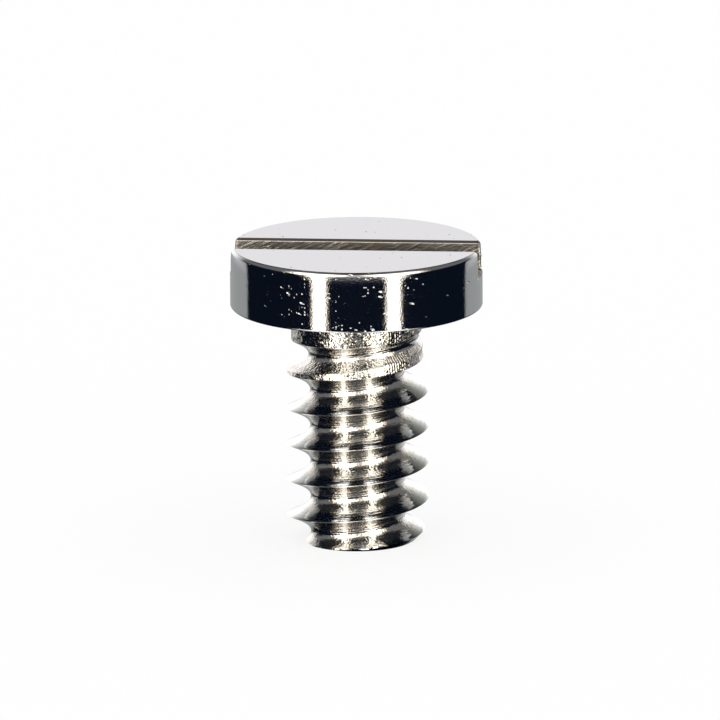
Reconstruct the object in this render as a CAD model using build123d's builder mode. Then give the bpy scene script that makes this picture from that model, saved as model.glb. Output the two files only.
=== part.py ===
from build123d import *
from math import atan, ceil, cos, degrees, radians, sin, tan
import os

# Watch bridge screw: a slotted cylinder-head screw turned from one piece of steel bar.
# Millimetres. The axis is Z and the origin is the middle of the flat end of the thread.
# The head is at the top, and its slot runs nearly along X.

# head
head_diameter = 1.726
head_height = 0.42
head_top_bevel = 0.021
head_bottom_bevel = 0.012

# driver slot across the head
slot_width = 0.305
slot_depth = 0.195
slot_angle = -4.8  # degrees about the axis, from X
slot_edge_bevel = 0.008

# threaded shank, from its flat end up to the seat under the head
shank_length = 1.642
thread_diameter = 0.98
thread_pitch = 0.25
flank_angle = 50.0  # included angle of the V groove
root_radius = 0.068
crest_width = 0.006  # flat left between two turns of the groove
groove_height = 0.175  # height of the groove's middle on the +X side, the lowest one

# blank under the head, where the groove runs out
neck_step = 0.04  # how much smaller its radius is than the thread's
neck_length = 0.32
neck_taper_length = 0.245
runout_gap = 0.352  # from the seat down to where the groove begins to run out
runout_turns = 0.75
runout_margin = 0.012  # how far the groove's bottom ends outside the neck

# end of the thread: a long slight taper, then a steep bevel down to the flat end
end_taper_height = 0.235
end_taper_width = 0.03
end_bevel_height = 0.067
end_bevel_width = 0.065

head_radius = head_diameter / 2
thread_radius = thread_diameter / 2
neck_radius = thread_radius - neck_step
end_bevel_radius = thread_radius - end_taper_width
total_length = shank_length + head_height

# Section of the groove: a round bottom and two flanks, which run on a little past the crest
# so that the cut's corners stay clear of it, and then straight walls.
half_flank = radians(flank_angle / 2)
arc_half_width = root_radius * cos(half_flank)
arc_depth = root_radius * (1 - sin(half_flank))
crest_half_width = (thread_pitch - crest_width) / 2
wall_half_width = (thread_pitch - crest_width / 2) / 2
thread_depth = arc_depth + (crest_half_width - arc_half_width) / tan(half_flank)
wall_depth = arc_depth + (wall_half_width - arc_half_width) / tan(half_flank)
section_depth = wall_depth + root_radius / 2
groove_bottom = thread_radius - thread_depth

# The full groove ends at this height and azimuth, and its turns go down from there past the end.
runout_start = shank_length - runout_gap
runout_azimuth = 360 * (runout_start - groove_height) / thread_pitch
groove_turns = ceil(runout_start / thread_pitch) + 1

# On its cone the groove keeps its pitch along the axis and climbs out past the neck.
runout_height = thread_pitch * runout_turns
runout_climb = neck_radius + runout_margin - groove_bottom
cone_angle = degrees(atan(runout_climb / runout_height))
cone_pitch = thread_pitch / cos(radians(cone_angle))

# The section has its bottom at the origin and its mouth along +X. It lies in planes through the axis.
with BuildSketch() as section:
    with BuildLine():
        ThreePointArc((arc_depth, -arc_half_width), (0, 0), (arc_depth, arc_half_width))
        Polyline(
            (arc_depth, arc_half_width),
            (wall_depth, wall_half_width),
            (section_depth, wall_half_width),
            (section_depth, -wall_half_width),
            (wall_depth, -wall_half_width),
            (arc_depth, -arc_half_width),
        )
    make_face()

# The top turn of the groove and its run-out are drawn from +X.
turn_start = runout_start - thread_pitch
with BuildPart() as groove_turn:
    with BuildLine() as turn_path:
        Helix(thread_pitch, thread_pitch, groove_bottom, center=(0, 0, turn_start))
    with BuildSketch(Plane((groove_bottom, 0, turn_start), x_dir=(1, 0, 0), z_dir=(0, -1, 0))):
        add(section.sketch)
    sweep(path=turn_path.line, is_frenet=True)

with BuildPart() as runout:
    with BuildLine() as runout_path:
        Helix(cone_pitch, runout_height, groove_bottom, center=(0, 0, runout_start), cone_angle=cone_angle)
    with BuildSketch(Plane((groove_bottom, 0, runout_start), x_dir=(1, 0, 0), z_dir=(0, -1, 0))):
        add(section.sketch)
    sweep(path=runout_path.line, is_frenet=True)

with BuildPart() as bridge_screw:
    with BuildSketch(Plane.XZ):
        with BuildLine():
            Polyline(
                (0, 0),
                (end_bevel_radius - end_bevel_width, 0),
                (end_bevel_radius, end_bevel_height),
                (thread_radius, end_taper_height),
                (thread_radius, shank_length - neck_length - neck_taper_length),
                (neck_radius, shank_length - neck_length),
                (neck_radius, shank_length),
                (head_radius - head_bottom_bevel, shank_length),
                (head_radius, shank_length + head_bottom_bevel),
                (head_radius, total_length - head_top_bevel),
                (head_radius - head_top_bevel, total_length),
                (0, total_length),
                close=True,
            )
        make_face()
    revolve(axis=Axis.Z)
    with BuildSketch(Plane.XY.offset(total_length)):
        Rectangle(2 * head_diameter, slot_width, rotation=slot_angle)
    extrude(amount=-slot_depth, mode=Mode.SUBTRACT)
    slot_edges = bridge_screw.edges().filter_by(GeomType.LINE).group_by(Axis.Z)[-1]
    chamfer(slot_edges, length=slot_edge_bevel)
    for turn in range(groove_turns):
        with Locations(Location((0, 0, -turn * thread_pitch), (0, 0, runout_azimuth))):
            add(groove_turn.part, mode=Mode.SUBTRACT)
    with Locations(Location((0, 0, 0), (0, 0, runout_azimuth))):
        add(runout.part, mode=Mode.SUBTRACT)

bridge_screw.part.label = "bridge_screw"
os.makedirs("parts", exist_ok=True)
export_step(bridge_screw.part, "parts/bridge_screw.step")
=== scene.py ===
"""Looks of a watch bridge screw: the turned, slotted and threaded steel, the studio and the camera."""
import math

import bpy
import numpy as np
from mathutils import Matrix, Vector, noise


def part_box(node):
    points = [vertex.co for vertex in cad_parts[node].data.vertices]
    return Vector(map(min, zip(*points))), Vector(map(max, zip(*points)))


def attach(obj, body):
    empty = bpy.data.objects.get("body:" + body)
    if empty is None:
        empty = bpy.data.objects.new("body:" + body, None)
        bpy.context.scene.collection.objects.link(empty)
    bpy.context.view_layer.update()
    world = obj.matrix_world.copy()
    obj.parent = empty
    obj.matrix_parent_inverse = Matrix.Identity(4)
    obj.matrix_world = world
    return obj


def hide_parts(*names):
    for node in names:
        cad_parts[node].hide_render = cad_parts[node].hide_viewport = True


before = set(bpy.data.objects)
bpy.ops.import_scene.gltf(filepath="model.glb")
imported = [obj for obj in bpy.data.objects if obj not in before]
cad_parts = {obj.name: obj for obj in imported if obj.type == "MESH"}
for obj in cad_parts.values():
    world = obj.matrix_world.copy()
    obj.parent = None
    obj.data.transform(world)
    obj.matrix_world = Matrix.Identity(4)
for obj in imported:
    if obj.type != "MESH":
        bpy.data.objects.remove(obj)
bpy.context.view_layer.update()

MM = 0.001
TURN = 2 * math.pi

# Sizes in millimetres. The outer ones come from the frame.
low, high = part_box("bridge_screw")
TOTAL_LENGTH = (high.z - low.z) / MM
HEAD_RADIUS = (high.x - low.x) / 2 / MM
HEAD_HEIGHT = 0.42
SEAT = TOTAL_LENGTH - HEAD_HEIGHT
TOP_BEVEL = 0.021
BOTTOM_BEVEL = 0.012
BEVEL_ROUNDING = 0.6  # 0 is a straight bevel, 1 a quarter circle
SEAT_FILLET = 0.014  # where the neck meets the seat

SLOT_WIDTH = 0.305
SLOT_DEPTH = 0.195
SLOT_ANGLE = math.radians(-4.8)
SLOT_BEVEL = 0.017
SLOT_FILLET = 0.012  # left by the cutter's corner, along the slot's floor
SLOT_CORNER = 0.018  # how far the break of the slot's upright corners reaches
SHOULDER_HEIGHT = 0.1  # the polishing wheel eased the side over the last stretch below the top bevel
SHOULDER_INSET = 0.004
SHOULDER_CURVE = 2.2  # the power by which it bends inwards
BURR = 0.012  # how deeply the saw broke the edge of the slot's right mouth
TEAR_DEPTH = 0.004  # how deep the threading tool tore the blank beside the run-out
TEAR_FROM = 1.05  # the blank is torn above this height, and fully from TEAR_RISE above it
TEAR_RISE = 0.1
TEAR_REACH = 0.014  # how far inside the blank the metal is torn too
TEAR_FADE = 0.01
FLANK_TEAR_FROM = 1.15  # the same heights for the groove's lower flank
FLANK_TEAR_RISE = 0.05
FLANK_TEAR_BELOW = 0.02  # how far below the groove's middle it starts, and is full twice as far
COARSE_TEARS = 30  # to the millimetre
FINE_TEARS = 70
BURR_TEETH = 38  # to the millimetre
SLOT_FLOOR = TOTAL_LENGTH - SLOT_DEPTH

PITCH = 0.25
FLANK_ANGLE = math.radians(50)
ROOT_RADIUS = 0.068
CREST_WIDTH = 0.006
GROOVE_HEIGHT = 0.175
THREAD_RADIUS = 0.49
NECK_RADIUS = 0.45
NECK_TOP = 1.6  # the threaded surface is drawn up to here
RUNOUT_START = 1.29
RUNOUT_TURNS = 0.75
RUNOUT_MARGIN = 0.012
EDGE_BREAK = 0.006  # how softly the groove's edges meet the blank at the tip and the neck
CREST_EASING = 0.045  # and along the thread
CREST_LIFT = 0.012  # keeps the eased crest at the thread's radius
EASED_HEIGHTS = (0.1, 0.25, 1.05, 1.2)  # where the easing starts, is full, is full to, and ends
HOLLOW = 0.8  # how far the tool's ground edge bends the flanks from straight to a parabola

# The blank before the thread was cut: heights above the flat end, and radii.
BLANK = [
    (0, 0.391), (0.004, 0.3989), (0.067, 0.46), (0.235, THREAD_RADIUS),
    (1.077, THREAD_RADIUS), (1.322, NECK_RADIUS), (SEAT, NECK_RADIUS),
]

# Groove section: a round root, then two straight flanks.
HALF_FLANK = FLANK_ANGLE / 2
ARC_HALF_WIDTH = ROOT_RADIUS * math.cos(HALF_FLANK)
ARC_DEPTH = ROOT_RADIUS * (1 - math.sin(HALF_FLANK))
CREST_HALF_WIDTH = (PITCH - CREST_WIDTH) / 2
THREAD_DEPTH = ARC_DEPTH + (CREST_HALF_WIDTH - ARC_HALF_WIDTH) / math.tan(HALF_FLANK)
GROOVE_BOTTOM = THREAD_RADIUS - THREAD_DEPTH
RUNOUT_CLIMB = NECK_RADIUS + RUNOUT_MARGIN - GROOVE_BOTTOM

# Mesh density.
COLUMNS = 288
ROWS_PER_PITCH = 36
SLOT_END_STEPS = 16
HALF_STEPS = COLUMNS // 2 - SLOT_END_STEPS
SNAP = 0.002  # rows nearer than this to a flat end are moved onto it
SUPPORT = 0.002  # how near an edge the next row of points lies
NO_GROOVE = 9.0  # a radius outside everything


def colour(code):
    """Linear colour of an sRGB hex code, for the sockets."""
    parts = [int(code[i:i + 2], 16) / 255 for i in (1, 3, 5)]
    return [c / 12.92 if c <= 0.04045 else ((c + 0.055) / 1.055) ** 2.4 for c in parts] + [1.0]


def add(tree, kind, inputs=(), **settings):
    """Adds a shader node. Inputs are values, sockets or nodes, whose first output is linked."""
    made = tree.nodes.new("ShaderNode" + kind)
    for name, value in settings.items():
        setattr(made, name, value)
    open_inputs = [s for s in made.inputs if s.enabled]
    named = inputs.items() if isinstance(inputs, dict) else zip(open_inputs, inputs)
    for key, value in named:
        socket = made.inputs[key] if isinstance(key, str) else key
        if isinstance(value, bpy.types.Node):
            value = next(s for s in value.outputs if s.enabled)
        if isinstance(value, bpy.types.NodeSocket):
            tree.links.new(value, socket)
        else:
            socket.default_value = value
    return made


# The screw's surface

def blank_radius(z):
    """Radius of the shank before its thread was cut."""
    heights, radii = zip(*BLANK)
    return np.interp(z, heights, radii)


def groove_radius(theta, z):
    """Radius of the groove's surface, also where it is wider than the blank."""
    nearest = np.floor((z - GROOVE_HEIGHT) / PITCH - theta / TURN + 0.5)
    radius = np.full_like(z, NO_GROOVE)
    for turn in (nearest - 1, nearest, nearest + 1):
        middle = GROOVE_HEIGHT + PITCH * (theta / TURN + turn)
        run = (middle - RUNOUT_START) / (PITCH * RUNOUT_TURNS)
        across = np.abs(z - middle)
        arc = ROOT_RADIUS - np.sqrt(ROOT_RADIUS**2 - np.minimum(across, ARC_HALF_WIDTH) ** 2)
        flank = ARC_DEPTH + (across - ARC_HALF_WIDTH) / math.tan(HALF_FLANK)
        depth = np.where(across < ARC_HALF_WIDTH, arc, flank)
        depth = depth + HOLLOW * (THREAD_DEPTH * (across / CREST_HALF_WIDTH) ** 2 - depth)
        surface = GROOVE_BOTTOM + np.clip(run, 0, None) * RUNOUT_CLIMB + depth
        radius = np.minimum(radius, np.where(run > 1, NO_GROOVE, surface))
    return radius


def soft_minimum(a, b, reach):
    """The smaller of two, with the corner between them rounded over the reach."""
    share = np.clip(0.5 + 0.5 * (b - a) / reach, 0, 1)
    return b + (a - b) * share - reach * share * (1 - share)


def shank_radius(theta, z):
    """Radius of the shank. Between the tip and the neck the flanks bend over towards the crest."""
    eased = np.interp(z, EASED_HEIGHTS, [0, 1, 1, 0])
    blank = blank_radius(z) + CREST_LIFT * eased
    reach = EDGE_BREAK + (CREST_EASING - EDGE_BREAK) * eased
    return soft_minimum(blank, groove_radius(theta, z), reach)


def tearing(theta, z, radius):
    """How far the metal is torn, from 0 to 1, where the tool was drawn out: on the blank and just inside
    it, and on the lower flank of the groove."""
    on_blank = np.clip((radius - blank_radius(z) + TEAR_REACH) / TEAR_FADE, 0, 1)
    level = (z - GROOVE_HEIGHT) / PITCH - theta / TURN + 0.5
    across = PITCH * (level - np.floor(level) - 0.5)
    on_flank = np.clip((-FLANK_TEAR_BELOW - across) / FLANK_TEAR_BELOW, 0, 1)
    on_blank = on_blank * np.clip((z - TEAR_FROM) / TEAR_RISE, 0, 1)
    return np.maximum(on_blank, on_flank * np.clip((z - FLANK_TEAR_FROM) / FLANK_TEAR_RISE, 0, 1))


def torn_radius(angle, z, radius, share):
    """Radius after tearing."""
    if share == 0:
        return radius
    spot = Vector((radius * math.cos(angle), radius * math.sin(angle), z))
    hollow = 0.5 + 0.6 * noise.noise(COARSE_TEARS * spot) + 0.4 * noise.noise(FINE_TEARS * spot)
    return radius - TEAR_DEPTH * share * min(1, max(0, hollow))


def row_offset(share):
    """Height of a row in its turn, with the rows closest together at the crest."""
    crowd_once = 0.01 * math.sin(TURN * share)
    crowd_twice = 0.008 * math.sin(2 * TURN * share)
    return PITCH * (share - 0.5) - crowd_once - crowd_twice


class Surface:
    """Points in millimetres, and faces with the index of their material."""

    def __init__(self):
        self.points = []
        self.faces = []
        self.finishes = []

    def point(self, x, y, z):
        self.points.append((x, y, z))
        return len(self.points) - 1

    def face(self, corners, finish):
        kept = [c for n, c in enumerate(corners) if c != corners[n - 1]]
        if len(kept) > 2:
            self.faces.append(kept)
            self.finishes.append(finish)

    def ring(self, outline, z):
        return [self.point(x, y, z) for x, y in outline]

    def band(self, lower, upper, finish, closed=True):
        """Faces between two rows of as many points."""
        for n in range(0 if closed else 1, len(lower)):
            self.face([lower[n - 1], lower[n], upper[n], upper[n - 1]], finish)


SIDE, TOP, SLOT, THREAD, TORN, END = range(6)


def circle(radius, angles):
    """Points on a circle."""
    return [(radius * math.cos(a), radius * math.sin(a)) for a in angles]


def add_shank(surface):
    """The thread, as rows that follow its helix. Returns the flat loops at its two ends."""
    turns = 10
    turns_below = 2
    rows = turns * ROWS_PER_PITCH
    offsets = [row_offset(r / ROWS_PER_PITCH) for r in range(ROWS_PER_PITCH)]
    starts = [PITCH * (r // ROWS_PER_PITCH - turns_below) for r in range(rows)]
    lift = np.array([start + offsets[r % ROWS_PER_PITCH] for r, start in enumerate(starts)])
    angles = TURN * np.arange(COLUMNS) / COLUMNS
    heights = GROOVE_HEIGHT + PITCH * angles[:, None] / TURN + lift[None, :]
    heights = np.where(heights < SNAP, 0, np.where(heights > NECK_TOP - SNAP, NECK_TOP, heights))
    spread = np.broadcast_to(angles[:, None], heights.shape)
    radii = shank_radius(spread, heights)
    torn = tearing(spread, heights, radii)

    columns = []
    for i, angle in enumerate(angles):
        column = []
        last = None
        for z, radius, share in zip(heights[i], radii[i], torn[i]):
            if z == last:
                column.append(column[-1])
            else:
                rough = torn_radius(angle, z, radius, share)
                column.append(surface.point(rough * math.cos(angle), rough * math.sin(angle), z))
            last = z
        columns.append(column)

    for i in range(COLUMNS):
        here = columns[i]
        if i + 1 < COLUMNS:
            there = columns[i + 1]
        else:
            there = columns[0][ROWS_PER_PITCH:] + [columns[0][-1]] * ROWS_PER_PITCH
        for r in range(rows - 1):
            finish = TORN if torn[i, r] > 0.5 else THREAD
            surface.face([here[r], there[r], there[r + 1], here[r + 1]], finish)
    return [c[0] for c in columns], [c[-1] for c in columns]


def add_flat_end(surface, rim):
    """The flat end of the thread, as rings inside its outline."""
    outer = rim
    outline = [surface.points[p][:2] for p in rim]
    for share in (0.99, 0.93, 0.8, 0.6, 0.4, 0.2):
        inner = surface.ring([(share * x, share * y) for x, y in outline], 0)
        surface.band(inner, outer, END)
        outer = inner
    centre = surface.point(0, 0, 0)
    for n in range(COLUMNS):
        surface.face([centre, outer[n], outer[n - 1]], END)


def half_outline(radius, half_slot, roundness):
    """Half of the head beside the slot, in the slot's frame: its arc, and the slot's wall back again."""
    corner = math.asin(half_slot / radius)
    reach = SLOT_CORNER / radius
    first = corner + reach
    last = math.pi - first
    steps = HALF_STEPS - 4
    inner = [first + (last - first) * n / steps for n in range(steps + 1)]
    arc = [corner, corner + reach / 2] + inner + [math.pi - corner - reach / 2, math.pi - corner]
    arc = [(radius * math.cos(a), radius * math.sin(a)) for a in arc]
    end = arc[0][0]
    near = end - SLOT_CORNER
    inner = [near - 2 * near * n / steps for n in range(steps + 1)]
    wall = [end - SLOT_CORNER / 2] + inner + [SLOT_CORNER / 2 - end]
    wall = [(x, half_slot) for x in wall]

    def rounded(start, middle, finish, share):
        weights = ((1 - share) ** 2, 2 * share * (1 - share), share**2)
        return tuple(sum(w * p[k] for w, p in zip(weights, (start, middle, finish))) for k in (0, 1))

    def mix(sharp, soft):
        return tuple(a + (b - a) * roundness for a, b in zip(sharp, soft))

    for side, (a, w) in enumerate(((0, 0), (len(arc) - 1, len(wall) - 1))):
        step = 1 if side == 0 else -1
        on_arc = arc[a + 2 * step]
        tip = arc[a]
        on_wall = wall[w + step]
        arc[a + step] = mix(arc[a + step], rounded(on_arc, tip, on_wall, 0.25))
        wall[w] = mix(wall[w], rounded(on_arc, tip, on_wall, 0.75))
        arc[a] = mix(tip, rounded(on_arc, tip, on_wall, 0.5))
    return arc, wall


def ragged(arc, wall, z):
    """The corner that starts the arc, broken away unevenly by the saw as it came out there."""
    if z > TOTAL_LENGTH - TOP_BEVEL:
        return arc, wall
    bite = BURR * max(0, 0.35 + noise.noise(Vector((0, 0, BURR_TEETH * z))))
    arc = [(x - bite * max(0, 1 - n / 4), y) for n, (x, y) in enumerate(arc)]
    wall = [(x - bite * max(0, 1 - n / 3), y) for n, (x, y) in enumerate(wall)]
    return arc, wall


def turned(outline, angle):
    """An outline turned round the axis."""
    c, s = math.cos(angle), math.sin(angle)
    return [(c * x - s * y, s * x + c * y) for x, y in outline]


def half_levels():
    """Heights, radii, half slot widths and corner roundness, from the slot's floor up to the top."""
    levels = []
    fillet_steps = straight_steps = 4
    shoulder_steps = 12
    bevel_steps = 10
    for n in range(fillet_steps):
        a = math.pi / 2 * n / fillet_steps
        z = SLOT_FLOOR + SLOT_FILLET * (1 - math.cos(a))
        half_slot = SLOT_WIDTH / 2 - SLOT_FILLET * (1 - math.sin(a))
        levels.append((z, HEAD_RADIUS, half_slot, n / fillet_steps))
    bevel_foot = TOTAL_LENGTH - TOP_BEVEL
    shoulder = bevel_foot - SHOULDER_HEIGHT
    straight_low = SLOT_FLOOR + SLOT_FILLET
    for n in range(straight_steps):
        z = straight_low + (shoulder - straight_low) * n / straight_steps
        levels.append((z, HEAD_RADIUS, SLOT_WIDTH / 2, 1))
    for n in range(shoulder_steps):
        inset = SHOULDER_INSET * (n / shoulder_steps) ** SHOULDER_CURVE
        z = shoulder + SHOULDER_HEIGHT * n / shoulder_steps
        levels.append((z, HEAD_RADIUS - inset, SLOT_WIDTH / 2, 1))
    slot_bevel_foot = TOTAL_LENGTH - SLOT_BEVEL
    for n in range(bevel_steps + 1):
        a = math.pi / 2 * n / bevel_steps
        z = bevel_foot + TOP_BEVEL * bevel_rise(a)
        slot_out = max(0, z - slot_bevel_foot)
        inset = SHOULDER_INSET + (TOP_BEVEL - SHOULDER_INSET) * bevel_inset(a)
        levels.append((z, HEAD_RADIUS - inset, SLOT_WIDTH / 2 + slot_out, 1))
    return levels


def bevel_rise(a):
    """A bevel with rounded edges: between a quarter circle and a straight line."""
    return BEVEL_ROUNDING * math.sin(a) + (1 - BEVEL_ROUNDING) * a / (math.pi / 2)


def bevel_inset(a):
    """The same bevel, measured inwards."""
    return BEVEL_ROUNDING * (1 - math.cos(a)) + (1 - BEVEL_ROUNDING) * a / (math.pi / 2)


def add_head(surface, neck):
    """The head, from the neck's loop up: seat, bevels, side, slot and top."""
    levels = half_levels()
    arc, wall = half_outline(levels[0][1], levels[0][2], 0)
    corner = math.asin(levels[0][2] / HEAD_RADIUS)
    across_slot = np.linspace(-corner, corner, SLOT_END_STEPS + 1)[1:-1]
    upper = [math.atan2(y, x) for x, y in arc]
    ring_angles = upper + [math.pi + a for a in across_slot]
    ring_angles = ring_angles + [math.pi + a for a in upper] + [TURN + a for a in across_slot]
    ring_angles = [a + SLOT_ANGLE for a in ring_angles]

    first = round(ring_angles[0] / TURN * COLUMNS)
    even_angles = [TURN * (first + n) / COLUMNS for n in range(COLUMNS)]
    below = neck[first:] + neck[:first]

    fillet_steps = 5
    for n in range(fillet_steps + 1):
        a = math.pi / 2 * n / fillet_steps
        ring = surface.ring(circle(NECK_RADIUS + SEAT_FILLET * (1 - math.cos(a)), even_angles),
                            SEAT - SEAT_FILLET * (1 - math.sin(a)))
        surface.band(below, ring, TORN)
        below = ring
    seat_inner = NECK_RADIUS + SEAT_FILLET
    seat_outer = HEAD_RADIUS - BOTTOM_BEVEL
    shares = [0.005, 0.1, 0.25, 0.4, 0.55, 0.7, 0.85, 0.95, 0.995]
    for share in shares:
        angles = [e + (s - e) * share for e, s in zip(even_angles, ring_angles)]
        ring = surface.ring(circle(seat_inner + (seat_outer - seat_inner) * share, angles), SEAT)
        surface.band(below, ring, END)
        below = ring
    steps = 6
    for n in range(steps + 1):
        a = math.pi / 2 * n / steps
        ring = surface.ring(circle(HEAD_RADIUS - BOTTOM_BEVEL * (1 - bevel_rise(a)), ring_angles),
                            SEAT + BOTTOM_BEVEL * bevel_inset(a))
        surface.band(below, ring, SIDE)
        below = ring
    side_low = SEAT + BOTTOM_BEVEL + SUPPORT
    steps = 7
    for n in range(steps + 1):
        z = side_low + (SLOT_FLOOR - side_low) * n / steps
        ring = surface.ring(circle(HEAD_RADIUS, ring_angles), z)
        surface.band(below, ring, SIDE)
        below = ring
    add_halves(surface, below, levels)


def add_halves(surface, rim, levels):
    """The two halves of the head beside the slot, the slot's floor and the top."""
    starts = (0, HALF_STEPS + SLOT_END_STEPS)
    floor_walls = []
    for start, angle in zip(starts, (SLOT_ANGLE, SLOT_ANGLE + math.pi)):
        arc_low = rim[start:start + HALF_STEPS + 1]
        wall_low = surface.ring(turned(half_outline(*levels[0][1:3], 0)[1], angle), SLOT_FLOOR)
        floor_walls.append([arc_low[0]] + wall_low + [arc_low[-1]])
        for z, radius, half_slot, roundness in levels[1:]:
            arc, wall = half_outline(radius, half_slot, roundness)
            if angle == SLOT_ANGLE:
                arc, wall = ragged(arc, wall, z)
            arc_ring = surface.ring(turned(arc, angle), z)
            wall_ring = surface.ring(turned(wall, angle), z)
            surface.band(arc_low, arc_ring, SIDE, closed=False)
            ends_low = [arc_low[0]] + wall_low + [arc_low[-1]]
            ends = [arc_ring[0]] + wall_ring + [arc_ring[-1]]
            finish = SIDE if half_slot > SLOT_WIDTH / 2 else SLOT
            surface.band(ends, ends_low, finish, closed=False)
            arc_low, wall_low = arc_ring, wall_ring
        add_top(surface, arc_low, [arc_low[0]] + wall_low + [arc_low[-1]])
    add_slot_floor(surface, rim, floor_walls)


def add_top(surface, arc, wall):
    """Half of the top face, between its arc and the slot's edge."""
    rows = [0.0, 0.0, 0.1, 0.25, 0.4, 0.55, 0.7, 0.85, 1.0, 1.0]
    lines = []
    for a, w in zip(arc, wall):
        if a == w:
            lines.append([a] * len(rows))
            continue
        start = Vector(surface.points[a])
        finish = Vector(surface.points[w])
        inset = min(0.2, SUPPORT / (finish - start).length)
        line = [a]
        for share in rows[1:-1]:
            p = start.lerp(finish, inset + (1 - 2 * inset) * share)
            line.append(surface.point(*p))
        lines.append(line + [w])
    for n in range(1, len(lines)):
        surface.band(lines[n], lines[n - 1], TOP, closed=False)


def add_slot_floor(surface, rim, walls):
    """The slot's floor, between its walls and out to the head's side at both ends."""
    near, far = walls[0], walls[1][::-1]
    lines = []
    for a, b in zip(near, far):
        start = Vector(surface.points[a])
        finish = Vector(surface.points[b])
        shares = [n / SLOT_END_STEPS for n in range(1, SLOT_END_STEPS)]
        lines.append([a] + [surface.point(*start.lerp(finish, share)) for share in shares] + [b])
    for n in range(1, len(lines)):
        surface.band(lines[n], lines[n - 1], SLOT, closed=False)
    half = HALF_STEPS + SLOT_END_STEPS
    left_end = rim[HALF_STEPS:half + 1]
    right_end = (rim[half + HALF_STEPS:] + rim[:1])[::-1]
    surface.band(left_end, lines[-1], SLOT, closed=False)
    surface.band(lines[0], right_end, SLOT, closed=False)


def screw_mesh(finishes):
    """The whole screw as one mesh in metres, with its materials."""
    surface = Surface()
    tip, neck = add_shank(surface)
    add_flat_end(surface, tip)
    add_head(surface, neck)
    mesh = bpy.data.meshes.new("turned_screw")
    mesh.from_pydata([(x * MM, y * MM, z * MM) for x, y, z in surface.points], [], surface.faces)
    for finish in finishes:
        mesh.materials.append(finish)
    mesh.polygons.foreach_set("material_index", surface.finishes)
    mesh.shade_smooth()
    mesh.set_sharp_from_angle(angle=math.radians(30))
    mesh.update()
    return mesh


# Materials. The coordinates are in millimetres, so a pattern's scale is 1 / the width of its marks.

SMOOTH = {"interpolation_type": "SMOOTHSTEP"}

# Lines left by the threading tool: spacing and height in millimetres, and how far they sway, in radians.
# Finer ones would not show, so these are drawn as coarse as they need to be.
TURNING_LINES = ((0.043, 0.00014, 6.0), (0.019, 0.00007, 9.0))
SWAY_WIDTH = 1 / 7

RIBS = 140  # left by tool chatter, in a full turn: 0.02 mm apart on the neck
FACING_FEED = 1 / 60  # millimetres between the rings on the faced end


def position(tree):
    """Position in millimetres, and its parts."""
    place = add(tree, "VectorMath", [add(tree, "TexCoord").outputs["Object"], 1 / MM], operation="SCALE")
    return place, add(tree, "SeparateXYZ", [place]).outputs


def angle_round(tree, parts):
    """Angle round the axis in radians, from the front."""
    forward = add(tree, "Math", [parts["Y"], -1.0], operation="MULTIPLY")
    return add(tree, "Math", [parts["X"], forward], operation="ARCTAN2")


def distance_out(tree, place):
    """Distance from the axis in millimetres."""
    flat = add(tree, "VectorMath", [place, (1, 1, 0)], operation="MULTIPLY")
    return add(tree, "VectorMath", [flat], operation="LENGTH")


def new_metal(name, code, roughness):
    """Metal with a colour and a roughness, which a material can still vary with nodes."""
    made = bpy.data.materials.new(name)
    made.use_nodes = True
    tree = made.node_tree
    shader = tree.nodes["Principled BSDF"]
    shader.inputs["Base Color"].default_value = colour(code)
    shader.inputs["Metallic"].default_value = 1
    shader.inputs["Roughness"].default_value = roughness
    return made, tree, shader


def grain(tree, place, width, height, detail, roughness=0.5):
    """Height of a grain, from the width and the full height of its marks in millimetres."""
    marks = {"Vector": place, "Scale": 1 / width, "Detail": detail, "Roughness": roughness}
    return add(tree, "Math", [add(tree, "TexNoise", marks), height], operation="MULTIPLY")


def dents(tree, around, up, share, length, width, depth, tilt=0.0, seed=0.0):
    """Height in millimetres of scattered small dents. Each is an oval at a tilt to the turning
    direction, and share, a number or a socket, is the part of the cells that hold one."""
    largest = 0.4  # radius of a dent, as a share of its cell
    spread = add(tree, "CombineXYZ", [around, up, 0.0])
    moved = add(tree, "VectorMath", [spread, (seed, seed, 0)], operation="ADD")
    leaning = add(tree, "VectorRotate", {"Vector": moved, "Angle": tilt}, rotation_type="Z_AXIS")
    cells = add(tree, "VectorMath", [leaning, (1 / length, 1 / width, 1)], operation="MULTIPLY")
    found = add(tree, "TexVoronoi", [cells, 1.0], voronoi_dimensions="2D", feature="F1")
    lottery = add(tree, "SeparateColor", [found.outputs["Color"]]).outputs
    empty = add(tree, "Math", [1.0, share], operation="SUBTRACT")
    size = add(tree, "MapRange", [lottery["Red"], empty, 1.0, 0.0, largest])
    near = add(tree, "Math", [found.outputs["Distance"], size], operation="DIVIDE")
    inside = add(tree, "MapRange", [near, 0.0, 1.0, -1.0, 0.0], **SMOOTH)
    deep = add(tree, "Math", [inside, size], operation="MULTIPLY")
    return add(tree, "Math", [deep, depth / largest], operation="MULTIPLY")


def finish_bump(tree, shader, heights):
    """Adds up heights in millimetres and gives them to the shader as its bump."""
    total = heights[0]
    for height in heights[1:]:
        total = add(tree, "Math", [total, height], operation="ADD")
    bump = add(tree, "Bump", {"Height": total, "Distance": 1 * MM, "Strength": 1.0})
    tree.links.new(bump.outputs["Normal"], shader.inputs["Normal"])


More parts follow.
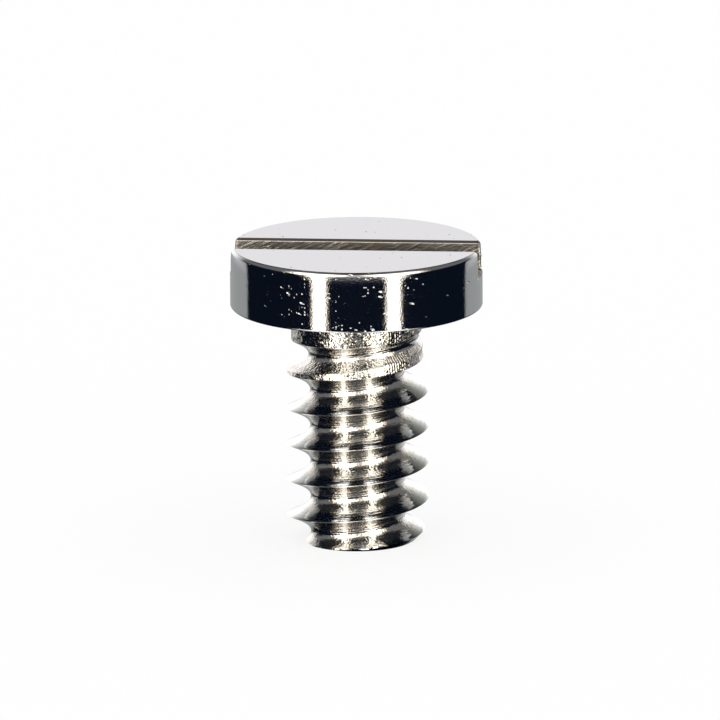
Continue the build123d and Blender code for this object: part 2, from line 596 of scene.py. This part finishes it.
def polished_side():
    """Nickel plate over polished steel, on the side of the head. It mirrors the studio sharply. A fine
    grain breaks up the edges of the reflections, and small dents left by grit catch the lights."""
    made, tree, shader = new_metal("polished_nickel_plate", "#D2D2D2", 0.06)
    place, parts = position(tree)
    angle = angle_round(tree, parts)
    around = add(tree, "Math", [angle, HEAD_RADIUS], operation="MULTIPLY")
    # The marks of polishing paste are finer than a pixel, so they are drawn 0.011 mm wide to show.
    paste = grain(tree, place, width=1 / 90, height=0.0004, detail=1.0, roughness=0.6)
    # The dents lie in patches of about 0.2 mm, most of them on the middle of the front.
    patches = add(tree, "TexNoise", {"Vector": place, "Scale": 1 / 0.2, "Detail": 1.0})
    patches = add(tree, "MapRange", [patches, 0.4, 0.65, 0.1, 0.55])
    left = add(tree, "MapRange", [angle, -0.75, -0.45, 0.06, 0.4], **SMOOTH)
    right = add(tree, "MapRange", [angle, 0.6, 0.25, 0.04, 1.0], **SMOOTH)
    crowd = add(tree, "Math", [left, right], operation="MULTIPLY")
    crowd = add(tree, "Math", [crowd, patches], operation="MULTIPLY")
    tilt = math.radians(12)
    dashes = dents(tree, around, parts["Z"], crowd, length=0.058, width=0.018, depth=0.0038, tilt=tilt)
    dots = dents(tree, around, parts["Z"], crowd, length=0.02, width=0.016, depth=0.002, seed=3.0)
    finish_bump(tree, shader, [paste, dashes, dots])
    return made


def lapped_top():
    """Nickel plate over steel lapped flat, on the top of the head. It is even and bright, with a very
    fine grain and a few specks."""
    made, tree, shader = new_metal("lapped_nickel_plate", "#DAD9DC", 0.12)
    place, parts = position(tree)
    # Lapping grit's marks are finer than a pixel too, and are drawn 0.014 mm wide.
    grit = grain(tree, place, width=1 / 70, height=0.0005, detail=2.0, roughness=0.6)
    specks = dents(tree, parts["X"], parts["Y"], 0.04, length=0.03, width=0.06, depth=0.006, seed=5.0)
    finish_bump(tree, shader, [grit, specks])
    return made


def milled_slot():
    """Steel milled by a slotting saw and then plated: dull walls, painted darker than the plate as
    painted shade, with painted highlights along the light slanting cutter strokes.
    """
    made, tree, shader = new_metal("milled_nickel_plate", "#CFC4B4", 0.34)
    place, parts = position(tree)
    slant = {"Vector": place, "Angle": math.radians(26)}
    strokes = add(tree, "VectorRotate", slant, rotation_type="Y_AXIS")
    # The saw's strokes are drawn 0.2 mm long and 0.017 to 0.025 mm wide.
    per_mm = (1 / 0.2, 1 / 0.025, 60)
    strokes = add(tree, "VectorMath", [strokes, per_mm], operation="MULTIPLY")
    lines = add(tree, "TexNoise", {"Vector": strokes, "Scale": 1.0, "Detail": 2.0, "Roughness": 0.5})
    # The walls' colour is painted: mostly dark, a painted shade of the slot, and light along the strokes
    # as painted highlights.
    lit_strokes = add(tree, "MapRange", [lines, 0.56, 0.7, 0.0, 1.0])
    tone = add(tree, "Mix", [lit_strokes, colour("#9C968E"), colour("#ECE6DE")], data_type="RGBA")
    tree.links.new(tone.outputs["Result"], shader.inputs["Base Color"])
    # Torn specks between the strokes are drawn 0.013 mm wide, so that they show.
    chips = grain(tree, place, width=1 / 75, height=0.002, detail=2.0)
    scores = add(tree, "Math", [lines, 0.004], operation="MULTIPLY")
    finish_bump(tree, shader, [chips, scores])
    return made


def cut_thread():
    """Steel threaded with a single-point tool and then plated thinly. Turning lines follow the groove
    and smear the reflections a little across it. The root is gritty, most of all on its lower side, and
    the flanks get smoother towards the crest."""
    made, tree, shader = new_metal("cut_thread_nickel_plate", "#DFDEDC", 0.1)
    place, parts = position(tree)
    angle = angle_round(tree, parts)
    radius = distance_out(tree, place)

    # Height above the middle of the groove, and roughly the length along its section.
    turns = add(tree, "Math", [angle, 1 / TURN, GROOVE_HEIGHT / PITCH - 0.75], operation="MULTIPLY_ADD")
    level = add(tree, "Math", [parts["Z"], PITCH], operation="DIVIDE")
    level = add(tree, "Math", [level, turns], operation="SUBTRACT")
    level = add(tree, "Math", [level], operation="FRACT")
    across = add(tree, "Math", [level, PITCH, -PITCH / 2], operation="MULTIPLY_ADD")
    side = add(tree, "Math", [across], operation="SIGN")
    rise = add(tree, "Math", [radius, GROOVE_BOTTOM], operation="SUBTRACT")
    profile = add(tree, "Math", [side, rise, across], operation="MULTIPLY_ADD")

    wander = add(tree, "TexNoise", {"Vector": place, "Scale": 1 / SWAY_WIDTH, "Detail": 2.0})
    heights = []
    for spacing, height, sway in TURNING_LINES:
        swing = add(tree, "Math", [wander, sway], operation="MULTIPLY")
        wave = add(tree, "Math", [profile, TURN / spacing, swing], operation="MULTIPLY_ADD")
        wave = add(tree, "Math", [wave], operation="SINE")
        heights.append(add(tree, "Math", [wave, height], operation="MULTIPLY"))

    in_root = add(tree, "MapRange", [radius, 0.425, 0.38, 0.0, 1.0], **SMOOTH)
    low_side = add(tree, "MapRange", [across, 0.03, -0.02, 0.2, 1.0], **SMOOTH)
    gritty = add(tree, "Math", [in_root, low_side], operation="MULTIPLY")
    # The grit in the plate is drawn 0.017 mm wide, which is as coarse as it needs to be to show.
    height = add(tree, "Math", [gritty, 0.0016, 0.00015], operation="MULTIPLY_ADD")
    heights.append(grain(tree, place, width=1 / 60, height=height, detail=0.0))
    finish_bump(tree, shader, heights)

    # Where it is gritty, the root is painted a little warmer: a painted tint of the warm light that it
    # mirrors back and forth.
    tone = add(tree, "Mix", [gritty, colour("#DFDEDC"), colour("#DAD6CE")], data_type="RGBA")
    tree.links.new(tone.outputs["Result"], shader.inputs["Base Color"])
    dull = add(tree, "Math", [gritty, 0.09, 0.06], operation="MULTIPLY_ADD")
    tree.links.new(dull.outputs["Value"], shader.inputs["Roughness"])
    shader.inputs["Anisotropic"].default_value = 0.2
    shader.inputs["Anisotropic Rotation"].default_value = 0.25
    round_axis = add(tree, "Tangent", direction_type="RADIAL", axis="Z")
    tree.links.new(round_axis.outputs["Tangent"], shader.inputs["Tangent"])
    return made


def torn_blank():
    """Steel torn where the threading tool was drawn out, then plated: coarse glittering grain, with
    short ribs on the right, across the ridge and the neck, where the tool chattered."""
    made, tree, shader = new_metal("torn_nickel_plate", "#DCD7CD", 0.14)
    place, parts = position(tree)
    angle = angle_round(tree, parts)
    # The tears are drawn 0.02 mm wide, and the finer glitter in them 0.012 mm wide, so that it shows.
    tears = grain(tree, place, width=1 / 52, height=0.003, detail=0.0)
    glitter = grain(tree, place, width=1 / 85, height=0.0022, detail=0.0)
    from_ribs = add(tree, "Math", [angle, 0.9], operation="SUBTRACT")
    from_ribs = add(tree, "Math", [from_ribs], operation="ABSOLUTE")
    rib_height = add(tree, "MapRange", [from_ribs, 0.5, 0.2, 0.0, 0.001], **SMOOTH)
    ribs = add(tree, "Math", [angle, RIBS], operation="MULTIPLY")
    ribs = add(tree, "Math", [ribs], operation="SINE")
    ribs = add(tree, "Math", [ribs, rib_height], operation="MULTIPLY")
    finish_bump(tree, shader, [tears, glitter, ribs])
    return made


def faced_end():
    """Steel faced on the lathe, on the seat and the flat end: fine rings round the axis. The photo hides
    both faces, so the rings' distance is a guess at the tool's feed."""
    made, tree, shader = new_metal("faced_nickel_plate", "#D8D6D2", 0.22)
    radius = distance_out(tree, position(tree)[0])
    marks = {"W": radius, "Scale": 1 / FACING_FEED, "Detail": 3.0}
    rings = add(tree, "TexNoise", marks, noise_dimensions="1D")
    rings = add(tree, "Math", [rings, 0.0012], operation="MULTIPLY")
    finish_bump(tree, shader, [rings])
    return made


# Studio

CAMERA_HEIGHT_ANGLE = math.radians(13.5)
CAMERA_DISTANCE = 120  # millimetres
CAMERA_ROLL = math.radians(0.36)
PIXELS = 720
PIXELS_PER_MM = 146.4
TOP_CENTRE_PIXEL = (356.1, 244.7)
SENSOR = 36

# What polished metal mirrors, in degrees round from the camera and above the horizon. A ramp is where
# it starts and ends, and its value at each, or 0 to 1 where it gives none.

# Two strip lights, at the level that the head's side mirrors
STRIP_FROM = 28
STRIP_TO = 40.5
STRIP_EDGE = 2  # half the width of the soft edge
STRIP_LEVEL = -13.5
STRIP_LIGHT = (2.8, 2.75, 2.65)
STRIP_POWERS = (1.0, 1.1, 1.3)  # for red, green and blue, which makes the strips' edges warm

# and how they change with the distance from that level, and with the height.
LEAN_IN = (7.0, 24.0, 0.0, 18.0)  # how far their inner edges move towards the middle
FLARE = (5.0, 18.0, 0.0, 22.0)  # how far their outer edges move away from it
SOFTNESS = (4.0, 14.0, STRIP_EDGE, 6 * STRIP_EDGE)  # half the width of their edges
LOW_END = (-36.0, -30.0, 0.01, 1.0)  # their light at the lower end
HIGH_END = (33.0, 52.0, 1.0, 0.03)  # and at the upper end

# Weaker light between the strips, by the distance from the same level, and where it ends on each side
GAP_LIGHT = (5.0, 14.0, 0.0, 0.5)
GAP_END = (42.0, 25.0)

# The lit table close to the screw, with its ends at the camera's own shadow and at the flags
TABLE_LIGHT = (-49.0, -53.0, 0.0, 3.0)
TABLE_FRONT = (18.0, 32.0)
TABLE_SIDE = (95.0, 75.0)

# Stray light on the flags at the sides, which starts a little above the head's level
STRAY_LIGHT = (25.0, 65.0, 0.0255, 0.17)
STRAY_LEVEL = (-4.0, 8.0)
FLAG = "#0D1421"

# The backdrop behind: its colours by height, its edge, and how it gets narrower upwards
BACKDROP = [
    (-90, "#0C1016"), (-36, "#12171E"), (-28, "#A0A4A4"), (-12, "#AAADAD"),
    (-8, "#F6F4FA"), (0, "#FFFCFF"), (15, "#FFFEFF"), (21, "#C8C9C8"),
    (30, "#80837E"), (40, "#3C403E"), (55, "#1E2226"), (90, "#14161C"),
]
BACKDROP_FROM = 119
BACKDROP_EDGE = 0.5
BACKDROP_NARROWS = (STRIP_LEVEL, 12.0, 0.0, 10.0)

# Above its foot it is dim near its edge, brightest further in, and a little weaker in the very middle.
BACKDROP_SWEEP = (122.0, 152.0, 0.3, 1.4)
BACKDROP_MIDDLE = (170.0, 179.0, 1.0, 0.72)
BACKDROP_FOOT = (-12.0, -6.0)

# Away from the middle its lower end is dark.
DARK_BELOW = (-20.0, -15.5, 0.1, 1.0)
DARK_SIDES = (165.0, 145.0)

LIT_PAPER = 0.8  # how much of the paper's white doesn't depend on the shadow
PAPER_DROP = 0.001  # how far the paper lies below the flat end, in millimetres


def set_camera():
    """Places the camera so that the middle of the top face falls on its pixel of the photograph."""
    data = bpy.data.cameras.new("camera")
    data.sensor_width = SENSOR
    data.lens = SENSOR * CAMERA_DISTANCE * PIXELS_PER_MM / PIXELS
    data.clip_start = 1 * MM
    data.clip_end = 2000 * MM
    camera = bpy.data.objects.new("camera", data)
    bpy.context.scene.collection.objects.link(camera)
    right = Vector((1, 0, 0))
    up = Vector((0, math.sin(CAMERA_HEIGHT_ANGLE), math.cos(CAMERA_HEIGHT_ANGLE)))
    back = right.cross(up)
    level = Matrix((right, up, back)).transposed()
    facing = level @ Matrix.Rotation(-CAMERA_ROLL, 3, "Z")
    shift_right = (TOP_CENTRE_PIXEL[0] - PIXELS / 2) / PIXELS_PER_MM
    shift_up = (PIXELS / 2 - TOP_CENTRE_PIXEL[1]) / PIXELS_PER_MM
    target = Vector((0, 0, TOTAL_LENGTH)) - facing @ Vector((shift_right, shift_up, 0))
    place = (target + back * CAMERA_DISTANCE) * MM
    camera.matrix_world = Matrix.Translation(place) @ facing.to_4x4()
    bpy.context.scene.camera = camera


def front_lights(tree, azimuth, elevation):
    """What the metal mirrors in front: two warm strip lights on a dark flag, weaker light between them
    except at the head's level, the table, and some stray light."""
    off_level = add(tree, "Math", [elevation, STRIP_LEVEL], operation="SUBTRACT")
    off_level = add(tree, "Math", [off_level], operation="ABSOLUTE")
    lean_in = add(tree, "MapRange", [off_level, *LEAN_IN], **SMOOTH)
    flare = add(tree, "MapRange", [off_level, *FLARE], **SMOOTH)
    soft = add(tree, "MapRange", [off_level, *SOFTNESS], **SMOOTH)
    hard = add(tree, "Math", [soft, -1.0], operation="MULTIPLY")
    inner = add(tree, "Math", [azimuth, lean_in], operation="ADD")
    inner = add(tree, "Math", [inner, STRIP_FROM], operation="SUBTRACT")
    inner = add(tree, "MapRange", [inner, hard, soft], **SMOOTH)
    outer = add(tree, "Math", [azimuth, flare], operation="SUBTRACT")
    outer = add(tree, "Math", [outer, STRIP_TO], operation="SUBTRACT")
    outer = add(tree, "MapRange", [outer, soft, hard], **SMOOTH)
    low_end = add(tree, "MapRange", [elevation, *LOW_END], **SMOOTH)
    high_end = add(tree, "MapRange", [elevation, *HIGH_END], **SMOOTH)
    strip = add(tree, "Math", [inner, outer], operation="MULTIPLY")
    strip = add(tree, "Math", [strip, low_end], operation="MULTIPLY")
    strip = add(tree, "Math", [strip, high_end], operation="MULTIPLY")
    warmer = [add(tree, "Math", [strip, power], operation="POWER") for power in STRIP_POWERS]
    warm = add(tree, "CombineXYZ", warmer)
    strips = add(tree, "VectorMath", [warm, STRIP_LIGHT], operation="MULTIPLY")

    gap = add(tree, "MapRange", [off_level, *GAP_LIGHT], **SMOOTH)
    gap = add(tree, "Math", [gap, low_end], operation="MULTIPLY")
    gap = add(tree, "Math", [gap, high_end], operation="MULTIPLY")
    between = add(tree, "MapRange", [azimuth, *GAP_END], **SMOOTH)
    gap = add(tree, "Math", [gap, between], operation="MULTIPLY")

    near = add(tree, "MapRange", [elevation, *TABLE_LIGHT], **SMOOTH)
    beside_camera = add(tree, "MapRange", [azimuth, *TABLE_FRONT], **SMOOTH)
    before_flag = add(tree, "MapRange", [azimuth, *TABLE_SIDE], **SMOOTH)
    table = add(tree, "Math", [beside_camera, before_flag], operation="MULTIPLY")
    table = add(tree, "Math", [table, near], operation="MULTIPLY")

    stray = add(tree, "MapRange", [azimuth, *STRAY_LIGHT], **SMOOTH)
    uncovered = add(tree, "MapRange", [elevation, *STRAY_LEVEL], **SMOOTH)
    stray = add(tree, "Math", [stray, uncovered], operation="MULTIPLY")

    plain = add(tree, "Math", [table, stray], operation="ADD")
    plain = add(tree, "Math", [plain, gap], operation="ADD")
    front = add(tree, "VectorMath", [strips, colour(FLAG)[:3]], operation="ADD")
    return add(tree, "VectorMath", [front, add(tree, "CombineXYZ", [plain] * 3)], operation="ADD")


def white_backdrop(tree, azimuth, elevation):
    """What the metal mirrors behind: a white sheet that darkens upwards and at its foot."""
    height = add(tree, "MapRange", [elevation, -90.0, 90.0, 0.0, 1.0])
    sheet = add(tree, "ValToRGB", [height])
    stops = sheet.color_ramp.elements
    while len(stops) < len(BACKDROP):
        stops.new(0.5)
    for stop, (angle, code) in zip(stops, BACKDROP):
        stop.position = (angle + 90) / 180
        stop.color = colour(code)
    sides = add(tree, "MapRange", [azimuth, *BACKDROP_SWEEP], **SMOOTH)
    middle = add(tree, "MapRange", [azimuth, *BACKDROP_MIDDLE], **SMOOTH)
    sweep = add(tree, "Math", [sides, middle], operation="MULTIPLY")
    above = add(tree, "MapRange", [elevation, *BACKDROP_FOOT], **SMOOTH)
    brighter = add(tree, "Mix", [above, 1.0, sweep], data_type="FLOAT")
    bright = {"Vector": sheet.outputs["Color"], "Scale": brighter}
    sheet = add(tree, "VectorMath", bright, operation="SCALE")
    dark_below = add(tree, "MapRange", [elevation, *DARK_BELOW], **SMOOTH)
    at_sides = add(tree, "MapRange", [azimuth, *DARK_SIDES], **SMOOTH)
    lower_end = add(tree, "Mix", [at_sides, 1.0, dark_below], data_type="FLOAT")
    return add(tree, "VectorMath", {"Vector": sheet, "Scale": lower_end}, operation="SCALE")


def set_world():
    """White for the camera and the paper. Metal mirrors the lights in front and the backdrop behind."""
    world = bpy.data.worlds.new("studio")
    bpy.context.scene.world = world
    world.use_nodes = True
    world.cycles.sampling_method = "NONE"
    tree = world.node_tree
    tree.nodes.clear()

    direction = add(tree, "TexCoord").outputs["Generated"]
    parts = add(tree, "SeparateXYZ", [direction]).outputs
    azimuth = add(tree, "Math", [angle_round(tree, parts)], operation="ABSOLUTE")
    azimuth = add(tree, "Math", [azimuth], operation="DEGREES")
    elevation = add(tree, "Math", [parts["Z"]], operation="ARCSINE")
    elevation = add(tree, "Math", [elevation], operation="DEGREES")

    front = front_lights(tree, azimuth, elevation)
    backdrop = white_backdrop(tree, azimuth, elevation)
    narrower = add(tree, "MapRange", [elevation, *BACKDROP_NARROWS], **SMOOTH)
    behind = add(tree, "Math", [azimuth, narrower], operation="SUBTRACT")
    edge = (BACKDROP_FROM - BACKDROP_EDGE, BACKDROP_FROM + BACKDROP_EDGE)
    behind = add(tree, "MapRange", [behind, *edge], **SMOOTH)
    mirrored = add(tree, "Mix", [behind, front, backdrop], data_type="RGBA")

    glossy = add(tree, "LightPath").outputs["Is Glossy Ray"]
    seen = add(tree, "Mix", [glossy, (1, 1, 1, 1), mirrored], data_type="RGBA")
    add(tree, "OutputWorld", [add(tree, "Background", [seen, 1.0])])


def add_floor():
    """White paper, which keeps the screw's soft shadow. Metal sees the world's studio through it."""
    size = 400 * MM
    mesh = bpy.data.meshes.new("paper_floor")
    level = -PAPER_DROP * MM
    corners = [(-size, -size, level), (size, -size, level), (size, size, level), (-size, size, level)]
    mesh.from_pydata(corners, [], [(0, 1, 2, 3)])
    paper = bpy.data.materials.new("white_paper")
    paper.use_nodes = True
    tree = paper.node_tree
    tree.nodes.clear()
    matt = add(tree, "BsdfDiffuse", [colour("#FDFDFD")])
    lit = add(tree, "Emission", [(1, 1, 1, 1), 1.0])
    camera = add(tree, "LightPath").outputs["Is Camera Ray"]
    share = add(tree, "Math", [camera, LIT_PAPER], operation="MULTIPLY")
    add(tree, "OutputMaterial", [add(tree, "MixShader", [share, matt, lit])])
    mesh.materials.append(paper)
    floor = bpy.data.objects.new("paper_floor", mesh)
    floor.visible_glossy = False
    bpy.context.scene.collection.objects.link(floor)


def main():
    finishes = [polished_side(), lapped_top(), milled_slot(), cut_thread(), torn_blank(), faced_end()]
    screw = bpy.data.objects.new("turned_screw", screw_mesh(finishes))
    bpy.context.scene.collection.objects.link(screw)
    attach(screw, "root")
    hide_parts("bridge_screw")
    add_floor()
    set_world()
    set_camera()
    bpy.context.scene.view_settings.view_transform = "Standard"


main()
bpy.context.view_layer.update()
